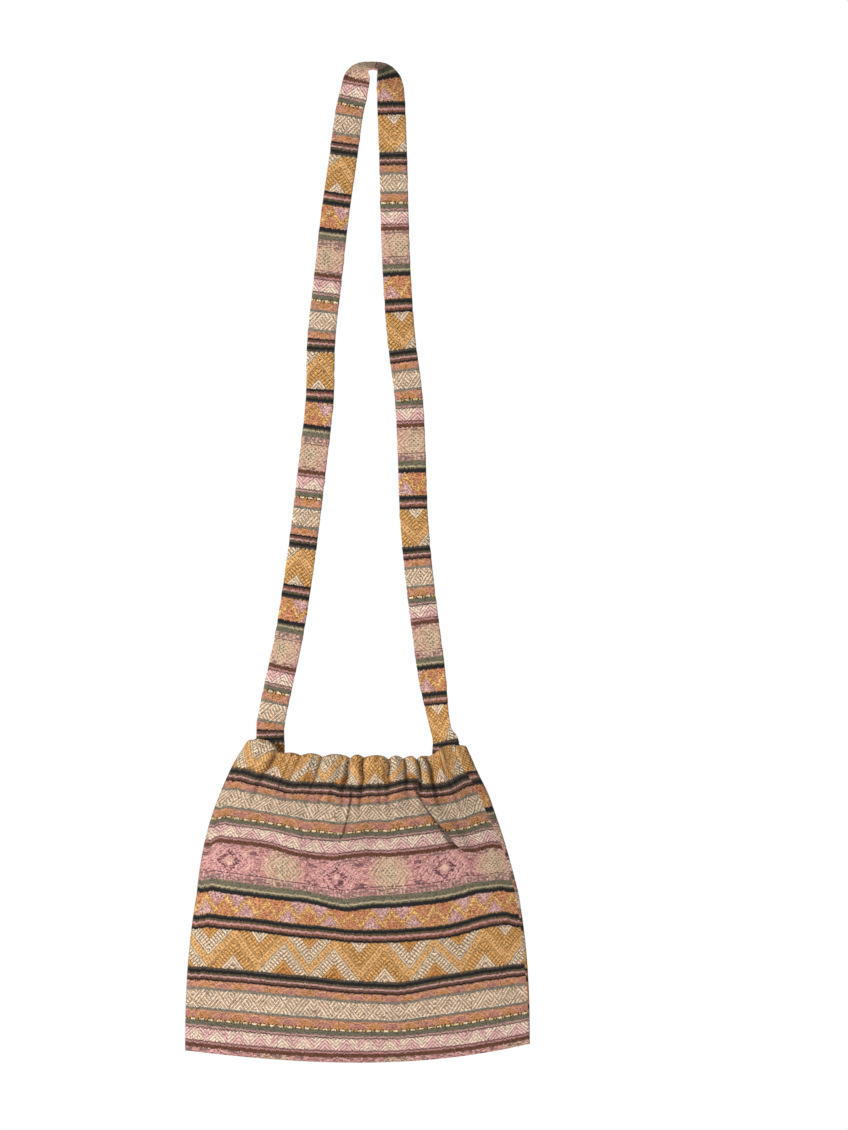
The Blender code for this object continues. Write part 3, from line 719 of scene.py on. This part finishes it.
def ruffle(drop, outer):
    fade = 1 - ease(bag["casing"], bag["casing"] + bag["ruffleFade"], drop)
    swell = mix(0.5, 1.0, math.sin(math.pi * min(1.0, drop / bag["casing"])))
    out = bag["ruffleOut"] * swell * fade
    return out if outer else mix(-bag["ruffleIn"], out, pressedShare(drop))


def pleatAt(base, drop):
    # how far the flap rises over its neighbour, and how far its edge reaches over it
    rise = reach = 0.0
    for crease, side, long, height, overhang, _ in pleats:
        length = (drop - bag["hem"] + 0.003) / long
        strength = ease(0, 0.10, length) * (1 - ease(0.78, 1.12, length))
        off = (base - crease) * side
        if 0 < off < bag["flap"]:
            rise += height * strength * ease(0, 0.010, off) * (1 - ease(0, bag["flap"], off))
            reach -= side * overhang * strength * (1 - ease(0, 0.09, off))
        elif -0.10 < off <= 0:
            rise -= bag["recess"] * strength * (1 - ease(0, 0.10, -off))
    return rise, reach


def wave(kind, cloth, drop, seed):
    _, across, down = creases[kind]
    return noise.noise(Vector((cloth * across, drop * down, seed)))


def puckers(cloth, drop, front):
    # small creases that run down from the stitches, and the slow waves of hanging cloth
    seed = 3.1 if front else 8.7
    fade = 1 - ease(bag["casing"], bag["casing"] + creases["fade"], drop)
    fine = wave("fine", cloth, drop, seed)
    sharp = 1 - abs(wave("sharp", cloth, drop, seed + 2)) * 2.2
    slow = wave("slow", cloth, drop, seed + 4)
    calm = 1 - ease(0.80, 1.0, drop / bag["depth"])
    middle = ease(-0.92, -0.70, cloth) * (1 - ease(0.78, 0.95, cloth))
    gathers = (creases["fine"][0] * fine + creases["sharp"][0] * max(0.0, sharp)) * fade * middle
    return gathers + creases["slow"][0] * slow * calm * ease(0.0, 0.03, drop)


def turnSeam(share, front, drop, reach):
    # the right seam turns towards the front, and so does the cloth beside it
    if share <= 0:
        return share, front
    away = (1 - share) if front else -(1 - share)
    shift = readTable(seamTurn, drop / bag["depth"]) / reach
    away += shift * math.exp(-((away / bag["seamReach"]) ** 2))
    return 1 - abs(away), away >= 0


def endPoint(sign, side, bend, core, inset, drop):
    # on the round end beside a seam
    radius = endRadius(drop) - inset
    x = sign * (core + radius * math.sin(bend)) + bulge(sign, drop)
    z = clothHeight(sign, drop, True) - bag["cornerDrop"] * (1 - ease(0, bag["casing"], drop))
    return Vector((middleX(drop) + x, side * radius * math.cos(bend), z))


def bagPoint(turn, drop, inset, outer, lift):
    # turn runs 0 to 1 along the front from the left seam, then 1 to 2 along the back
    base = 2 * turn - 1
    cloth = clothShare(turn, drop)
    radius = endRadius(drop)
    core = halfWidth(drop) - radius
    reach = core + math.pi * radius / 2
    share = mix(cloth, smoothTable(mouthShares, cloth), gatheredShare(drop))
    share, front = turnSeam(share, turn <= 1, drop, reach)
    place = abs(share) * reach
    sign = 1 if share > 0 else -1
    side = -1 if front else 1
    if place > core:
        return endPoint(sign, side, (place - core) / radius, core, inset, drop)
    across = sign * place / core
    heights = gatherHeights(cloth)
    gather = heights[0] if front else heights[1]
    if inset < bag["thickness"] * 1.01 or outer:
        gather *= ease(0, 0.05, 1 - abs(across))
    belly = bag["belly"] * readTable(bellyShape, drop / bag["depth"])
    y = radius - inset + belly * (1 - across * across) ** 0.8 + gather * ruffle(drop, outer)
    x = middleX(drop) + core * across + bulge(across, drop)
    if front:
        rise, over = pleatAt(base, drop)
        y += rise
        x += over
    edge = ease(0, 0.10, 1 - abs(across))
    above = 1 - ease(bag["casing"], 1.8 * bag["casing"], drop)
    x += creases["sway"][0] * above * edge * wave("sway", cloth, drop, 2.2 if front else 6.1)
    if outer:
        y += puckers(cloth, drop, front) * edge
    z = clothHeight(across, drop, front) + lift * gather
    z -= bag["cornerDrop"] * ease(0.84, 1.0, abs(across)) * (1 - ease(0, bag["casing"], drop))
    level = ease(0.010, bag["casing"], drop) * (1 - ease(0.05, 0.09, drop))
    z += creases["row"][0] * edge * wave("row", cloth, drop, 1.3) * level
    if front:
        z += frontLift(base, drop) * edge
    return Vector((x, side * y, z))


def clothAcross(turn, faceTurn, drop):
    # place across the cloth in metres; the cloth that is folded away in a valley is skipped there
    cloth = clothShare(turn, drop) if turn != 1 else 1.0
    half = bag["width"] / 2
    gathered = gatheredShare(drop)
    scale = halfWidth(drop) * mix(bag["humpLength"], 1.03, ease(0.020, 0.050, drop))

    def placed(share):
        return mix(share, smoothTable(mouthShares, share), gathered)

    def unpressed(anchor):
        return anchor * half + (placed(cloth) - placed(anchor)) * scale

    front = faceTurn <= 1
    edges = [-1.0, *(valley[0] for valley in valleys), 1.0]
    place = stretch(edges, clothShare(faceTurn, drop))
    humps = unpressed((edges[place - 1] + edges[place]) / 2)
    if not front:
        return mix(humps, cloth * half, ease(0.026, 0.070, drop))
    base = 2 * faceTurn - 1
    region = sum(base > pleat[0] for pleat in pleats)
    flaps = unpressed(bag["flapAnchors"][region])
    return mix(mix(humps, flaps, ease(0.026, 0.044, drop)), cloth * half, ease(0.080, 0.118, drop))


def paintedShadeAmount(turn, drop):
    # how much painted shade a place gets, in a valley of the gathers, in a crease, just under the casing or
    # beside a pleat: 1 is a deep valley
    cloth = clothShare(turn, drop)
    fade = ease(0, 0.003, drop) * (1 - ease(bag["casing"], 1.7 * bag["casing"], drop))
    middle = 1 - ease(0.86, 0.94, abs(cloth))
    depth = max(valley[2 if turn <= 1 else 3] * (1 - ease(0, shades["valley"], abs(cloth - valley[0])))
                for valley in valleys) * fade
    crease = max(0.0, 0.09 - abs(wave("dark", cloth, drop, 5.5))) / 0.09
    high = 1 - ease(0.7 * bag["casing"], 1.9 * bag["casing"], drop)
    depth = max(depth, creases["dark"][0] * crease * middle * high)
    depth = max(depth, shades["upper"] * ease(0.024, 0.030, drop) * (1 - ease(0.05, 0.13, drop)))
    if turn <= 1:
        # a painted shadow line on the flap's edge and on the cloth under it
        for place, side, long, _, _, line in pleats:
            length = (drop - bag["hem"] + 0.003) / long
            off = (2 * turn - 1 - place) * side
            near = 1 - (ease(*shades["edgeLine"], off) if off > 0 else ease(*shades["underLine"], -off))
            depth = max(depth, line * near * ease(0, 0.06, length) * (1 - ease(0.90, 1.04, length)))
    return depth


def clothRows():
    # drop, inset, whether it is the outer layer, and lift of each row, from the raw edge inside over
    # the mouth fold to the bottom fold
    pressed = 2 * bag["thickness"] + bag["hemGap"]
    rows = []
    for step in range(grid["hem"]):
        drop = mix(bag["hem"], bag["hemTop"], step / (grid["hem"] - 1))
        rows.append((drop, mix(bag["hemInset"], pressed, pressedShare(drop)), False, 0.0))
    radius = bag["hemInset"] / 2
    for step in range(grid["mouth"]):
        bend = math.radians(mix(165, 15, step / (grid["mouth"] - 1)))
        share = (1 - math.cos(bend)) / 2
        rows.append((radius * (1 - math.sin(bend)), bag["hemInset"] * share, share < 0.5, bag["ruffleLift"]))
    for step in range(1, grid["casing"] + 1):
        drop = bag["casing"] * step / grid["casing"]
        lift = bag["ruffleLift"] * (1 - ease(0, 1, step / grid["casing"]))
        rows.append((drop, 0.0, True, lift))
    for step in range(1, grid["body"] + 1):
        drop = mix(bag["casing"], bag["depth"] - bag["foldRadius"], step / grid["body"])
        rows.append((drop, 0.0, True, 0.0))
    return rows


def clothDown(row, drop, front):
    # place down the cloth: down the front and on up the back; the hem is before the mouth fold
    mouthRow = grid["hem"] + grid["mouth"] // 2
    if row < grid["hem"]:
        drop = -drop
    elif row < grid["hem"] + grid["mouth"]:
        drop = (row - mouthRow) / (grid["mouth"] - 1) * bag["mouthCloth"]
    if front:
        return drop - bag["clothTop"]
    return 2 * bag["depth"] - drop - bag["clothTop"] - bag["backUp"] * (1 - drop / bag["depth"])


def placeCloth(vert, row, turn, rows):
    last = len(rows) - 1
    if row <= last:
        vert.co = bagPoint(turn, *rows[row])
        return
    bend = math.radians(grid["bottom"][row - last - 1])
    vert.co = bagPoint(turn, *rows[last])
    vert.co.y *= math.cos(bend) if row < last + len(grid["bottom"]) else 0.0
    vert.co.z -= bag["foldRadius"] * math.sin(bend)


def makeBagCloth():
    rows = clothRows()
    last = len(rows) - 1
    down = last + len(grid["bottom"])
    around = 2 * grid["columns"]
    bm = bmesh.new()
    uvLayer = bm.loops.layers.uv.new("cloth")
    bmesh.ops.create_grid(bm, x_segments=around, y_segments=down, size=1)
    spot = bm.verts.layers.float_vector.new("spot")
    paintedShadeLayer = bm.verts.layers.float.new("fold")
    for vert in bm.verts:
        column = round((vert.co.x + 1) / 2 * around)
        row = round((vert.co.y + 1) / 2 * down)
        vert[spot] = (column, row, 0)
        turn = (column % around) / grid["columns"]
        # painted shade in the folds for each point, which the cloth's material reads
        if grid["hem"] + grid["mouth"] // 2 < row <= last:
            vert[paintedShadeLayer] = paintedShadeAmount(turn, rows[row][0])
        placeCloth(vert, row, turn, rows)
    # the cloth's own places, across it in u and down it in v
    for face in bm.faces:
        middle = sum(vert[spot][0] for vert in face.verts) / 4
        for loop in face.loops:
            column, row, _ = loop.vert[spot]
            row = round(row)
            drop = rows[row][0] if row <= last else bag["depth"]
            across = clothAcross(column / grid["columns"], (middle or 0.5) / grid["columns"], drop)
            loop[uvLayer].uv = (across, clothDown(row, drop, middle < grid["columns"]))
    bmesh.ops.remove_doubles(bm, verts=bm.verts, dist=1e-6)
    bmesh.ops.recalc_face_normals(bm, faces=bm.faces)
    bm.verts.layers.float_vector.remove(spot)
    made = newObject("woven_bag", bm, clothMaterial)
    frontFace = min(made.data.polygons, key=lambda face: face.center.y)
    if frontFace.normal.y > 0:
        made.data.flip_normals()
    wall = made.modifiers.new("cloth thickness", "SOLIDIFY")
    wall.thickness = bag["thickness"]
    wall.offset = -1
    wall.use_rim = True
    return made


wovenBag = makeBagCloth()
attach(wovenBag, "root")
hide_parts("bag_body")
print("bag cloth made")


# Stitches that close the casing

stitch = {"length": 0.0027, "gap": 0.0010, "radius": 0.00030, "raise": 0.00012, "steps": 2400}


def makeStitches():
    # single stitches with gaps between them, once around the casing's lower edge
    bm = bmesh.new()
    size = (0.5 * stitch["length"], stitch["radius"], stitch["radius"])
    passed, start, last = 0.0, None, None
    for step in range(stitch["steps"] + 1):
        turn = 0.004 + 1.992 * step / stitch["steps"]
        place = bagPoint(turn, bag["casing"], -stitch["raise"], True, 0.0)
        if last is not None:
            passed += (place - last).length
        last = place
        if start is None:
            if passed >= stitch["gap"]:
                start, passed = place, 0.0
        elif passed >= stitch["length"]:
            along = (place - start).normalized()
            turned = along.to_track_quat("X", "Z").to_matrix().to_4x4()
            shape = Matrix.Translation((place + start) / 2) @ turned @ Matrix.Diagonal((*size, 1))
            bmesh.ops.create_uvsphere(bm, u_segments=6, v_segments=5, radius=1, matrix=shape)
            start, passed = None, 0.0
    return newObject("casing_stitches", bm, threadMaterial)


casingStitches = makeStitches()
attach(casingStitches, "root")
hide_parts("casing_stitch_thread")
print("stitches made")


# Strap

strap = {
    "width": 0.0244, "thickness": 0.0024, "tuck": 0.0240, "insetLeft": 0.0198, "insetRight": 0.0178,
    "slack": 0.0010, "tilt": math.radians(25), "step": 0.0030, "pressed": 0.92,
    "ripple": (0.0004, 60, 150), "frayed": (0.0005, 140),  # height and pitch
    "leftMark": 743, "rightMark": 739,  # pixel rows of one stripe on both legs
    "repeats": 7,  # woven repeats between these two marks
}
# The route of each leg: share of the drop to the mouth, and how far it bows sideways.
leftBow = (
    (0.031, -0.0134), (0.060, -0.0147), (0.135, -0.0142), (0.224, -0.0136), (0.313, -0.0114),
    (0.402, -0.0091), (0.492, -0.0025), (0.581, -0.0003), (0.670, 0.0015), (0.759, 0.0025),
    (0.848, 0.0021), (0.938, -0.0012), (0.982, -0.0020),
)
rightBow = (
    (0.031, 0.0132), (0.060, 0.0122), (0.135, 0.0091), (0.224, 0.0047), (0.313, 0.0011),
    (0.402, -0.0007), (0.492, 0.0001), (0.581, -0.0030), (0.670, -0.0067), (0.759, -0.0076),
    (0.848, -0.0067), (0.938, -0.0052), (0.982, -0.0035),
)
# The route over the hook, across and up.
hookArch = ((-0.0135, -0.0078), (-0.0082, 0.0004), (0.0, 0.0022), (0.0080, 0.0002), (0.0132, -0.0080))
# How the strap's flat side turns: over the hook by its length from the top, lower down by its drop.
topTurns = (
    ((0.0, 90), (0.004, 77), (0.0085, 55), (0.0125, 36), (0.020, 15), (0.034, 5), (0.055, 0)),
    ((0.0, 90), (0.004, 80), (0.0085, 62), (0.0125, 48), (0.020, 28), (0.034, 9), (0.055, 0)),
)
leftTurn = ((0.0, 0), (0.95, 0), (1.0, -6), (1.03, -8))
rightTurn = ((0.0, 0), (0.89, 0), (0.95, -36), (0.975, -42), (0.99, -42), (1.002, -18), (1.03, -11))


def legPoints(side):
    inset = strap["insetLeft"] if side < 0 else strap["insetRight"]
    base = bag["mouthOffset"] + side * (bag["mouthWidth"] / 2 - inset)
    across = (base - bag["mouthOffset"]) / (bag["mouthWidth"] / 2)
    hem = bag["mouthEndRadius"] - bag["hemInset"] + bag["belly"] * bellyShape[0][1] * (1 - across**2) ** 0.7
    seat = hem - bag["ruffleIn"] - strap["thickness"] / 2 - strap["slack"]
    bow = leftBow if side < 0 else rightBow
    points = [Vector((base * share + off, seat * ease(0.8, 1.0, share), -bag["strapDrop"] * share))
              for share, off in bow]
    for below in (0.12, 0.5, 1.0):
        points.append(Vector((base, seat, -bag["strapDrop"] - strap["tuck"] * below)))
    return points


def lengthsAlong(points):
    lengths = [0.0]
    for a, b in zip(points, points[1:]):
        lengths.append(lengths[-1] + (b - a).length)
    return lengths


def smoothRoute(points, step):
    ends = [points[0] * 2 - points[1], *points, points[-1] * 2 - points[-2]]
    route = [points[0]]
    for a, b, c, d in zip(ends, ends[1:], ends[2:], ends[3:]):
        length = (c - b).length
        count = max(1, round(length / step))
        ab, cd = max((b - a).length, 1e-6), max((d - c).length, 1e-6)
        tangentB = ((b - a) / ab + (c - b) / length) * length / 2
        tangentC = ((c - b) / length + (d - c) / cd) * length / 2
        for index in range(1, count + 1):
            route.append(curve(b, c, tangentB, tangentC, index / count))
    return route


def strapFrames():
    # place, direction across the flat side and direction out of it, along the strap's route
    arch = [Vector((x, 0, z + strap["thickness"] / 2)) for x, z in hookArch]
    route = smoothRoute(legPoints(-1)[::-1] + arch + legPoints(1), strap["step"])
    passed = lengthsAlong(route)
    top = passed[max(range(len(route)), key=lambda index: route[index].z)]
    frames = []
    for index, place in enumerate(route):
        along = route[min(index + 1, len(route) - 1)] - route[max(index - 1, 0)]
        along.normalize()
        side = -1 if place.x < 0 else 1
        turn = leftTurn if side < 0 else rightTurn
        angle = math.radians(readTable(topTurns[side > 0], abs(passed[index] - top))
                             + readTable(turn, -place.z / bag["strapDrop"]))
        over = math.sin(max(angle, 0.0)) ** 2 * math.sin(strap["tilt"])
        across = Vector((-side * math.cos(angle), -math.sin(angle), -over))
        across = (across - along * across.dot(along)).normalized()
        frames.append((place, across, across.cross(along)))
    return frames


def strapPlaces(frames):
    # the woven repeat's place at each cross-section: whole repeats between the two marks
    lengths = lengthsAlong([place for place, _, _ in frames])

    def lengthAt(level, side):
        height = (camera["hook"][1] - level) * camera["pixel"]
        leg = [i for i, f in enumerate(frames) if f[0].x * side > 0]
        return lengths[min(leg, key=lambda i: abs(frames[i][0].z - height))]

    start, end = lengthAt(strap["leftMark"], -1), lengthAt(strap["rightMark"], 1)
    whole = strap["repeats"] * clothRepeat / 1000
    return [(length - start) / (end - start) * whole for length in lengths]


def strapSection():
    # across, thickness and cloth place of each point around the strap
    half, flat = strap["width"] / 2, strap["thickness"] / 2
    steps, bends = range(13), (-30, 0, 30)
    section = []
    for step in steps:
        wide = mix(half - flat, -half + flat, step / steps[-1])
        section.append((wide, flat, wide))
    for bend in bends:
        wide = -half + flat - flat * math.cos(math.radians(bend))
        section.append((wide, -flat * math.sin(math.radians(bend)), wide))
    for step in steps:
        wide = mix(-half + flat, half - flat, step / steps[-1])
        section.append((wide, -flat, -2 * half - wide))
    for bend in bends:
        wide = half - flat + flat * math.cos(math.radians(bend))
        section.append((wide, flat * math.sin(math.radians(bend)), half))
    return section


def strapPoint(place, across, out, along, wide, deep):
    # a point of the strap's skin, with fine ripples and a slightly uneven edge
    half = strap["width"] / 2
    height, pitchAlong, pitchAcross = strap["ripple"]
    ripple = height * noise.noise(Vector((along * pitchAlong, wide * pitchAcross, 2.0)))
    height, pitchAlong = strap["frayed"]
    edge = height * noise.noise(Vector((along * pitchAlong, 7.0 if wide > 0 else 3.0, 5.0)))
    wide += edge * (1 if wide > 0 else -1) * ease(0.5 * half, half, abs(wide))
    return place + across * wide + out * (deep * strap["pressed"] + ripple)


def makeStrap():
    frames = strapFrames()
    places = strapPlaces(frames)
    section = strapSection()
    count = len(section)
    bm = bmesh.new()
    uvLayer = bm.loops.layers.uv.new("cloth")
    bmesh.ops.create_grid(bm, x_segments=len(frames) - 1, y_segments=count, size=1)
    spot = bm.verts.layers.float_vector.new("spot")
    for vert in bm.verts:
        column = round((vert.co.x + 1) / 2 * (len(frames) - 1))
        row = round((vert.co.y + 1) / 2 * count)
        vert[spot] = (column, row, 0)
        vert.co = strapPoint(*frames[column], places[column], *section[row % count][:2])
    for face in bm.faces:
        for loop in face.loops:
            column, row, _ = loop.vert[spot]
            row = round(row) % count
            loop[uvLayer].uv = (-section[row][2], places[round(column)])
    bmesh.ops.remove_doubles(bm, verts=bm.verts, dist=1e-6)
    bmesh.ops.holes_fill(bm, edges=[edge for edge in bm.edges if edge.is_boundary])
    bmesh.ops.recalc_face_normals(bm, faces=bm.faces)
    bm.verts.layers.float_vector.remove(spot)
    return newObject("woven_strap", bm, strapMaterial), places


wovenStrap, strapLengths = makeStrap()
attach(wovenStrap, "root")
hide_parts("shoulder_strap")


# Threads and elastic

for name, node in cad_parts.items():
    if node.hide_render:
        continue
    finish = elasticMaterial if name == "mouth_elastic" else threadMaterial
    node.data.materials.clear()
    node.data.materials.append(finish)


# Floor, backdrop and light

studio = {
    "floor": -1.02, "shade": (0.35, 0.85, 0.72, 1.0), "world": 0.25, "aim": (0, 0, -0.65),
    # place, size and power of each lamp
    "key": ((-1.35, -1.8, -0.30), 0.55, 50),
    "fill": ((1.7, -2.0, -0.3), 1.6, 5),
    "back": ((0.9, 2.2, 0.1), 1.6, 34),
}


def paleFloor():
    # white as the camera sees it, apart from the soft shadow under the bag
    w = Weave("pale_floor", 0.9)
    w.shader.inputs["Base Color"].default_value = (0.9, 0.9, 0.9, 1)
    place = w.tree.nodes.new("ShaderNodeTexCoord").outputs["Object"]
    length = w.tree.nodes.new("ShaderNodeVectorMath")
    length.operation = "LENGTH"
    w.plug(place, length.inputs[0])
    spread = w.tree.nodes.new("ShaderNodeMapRange")
    w.plug(length.outputs["Value"], spread.inputs[0])
    for index, value in enumerate(studio["shade"], 1):
        spread.inputs[index].default_value = value
    path = w.tree.nodes.new("ShaderNodeLightPath")
    rays = w.calc("MAXIMUM", path.outputs["Is Camera Ray"],
                  w.calc("MAXIMUM", path.outputs["Is Glossy Ray"], path.outputs["Is Transmission Ray"]))
    light = w.tree.nodes.new("ShaderNodeEmission")
    blend = w.tree.nodes.new("ShaderNodeMixShader")
    w.plug(w.calc("MULTIPLY", rays, spread.outputs[0]), blend.inputs[0])
    w.plug(w.shader.outputs[0], blend.inputs[1])
    w.plug(light.outputs[0], blend.inputs[2])
    w.plug(blend.outputs[0], w.tree.nodes["Material Output"].inputs[0])
    return w.material


def paleWorld():
    world = bpy.data.worlds.new("studio_world")
    world.use_nodes = True
    tree = world.node_tree
    path = tree.nodes.new("ShaderNodeLightPath")
    strength = tree.nodes.new("ShaderNodeMapRange")
    tree.links.new(path.outputs["Is Camera Ray"], strength.inputs[0])
    strength.inputs["To Min"].default_value = studio["world"]
    strength.inputs["To Max"].default_value = 1.0
    tree.nodes["Background"].inputs[0].default_value = (1, 1, 1, 1)
    tree.links.new(strength.outputs[0], tree.nodes["Background"].inputs[1])
    return world


def makeStudio():
    bm = bmesh.new()
    bmesh.ops.create_grid(bm, x_segments=1, y_segments=1, size=60)
    bmesh.ops.translate(bm, verts=bm.verts, vec=(0, 0, studio["floor"]))
    floor = newObject("floor", bm, paleFloor())
    for name in ("key", "fill", "back"):
        place, size, power = studio[name]
        data = bpy.data.lights.new(name, "AREA")
        data.energy = power
        data.size = size
        lamp = bpy.data.objects.new(name, data)
        lamp.location = place
        lamp.rotation_euler = (Vector(studio["aim"]) - Vector(place)).to_track_quat("-Z", "Y").to_euler()
        bpy.context.scene.collection.objects.link(lamp)
    bpy.context.scene.world = paleWorld()
    bpy.context.scene.view_settings.view_transform = "Standard"


makeStudio()
print("studio made")
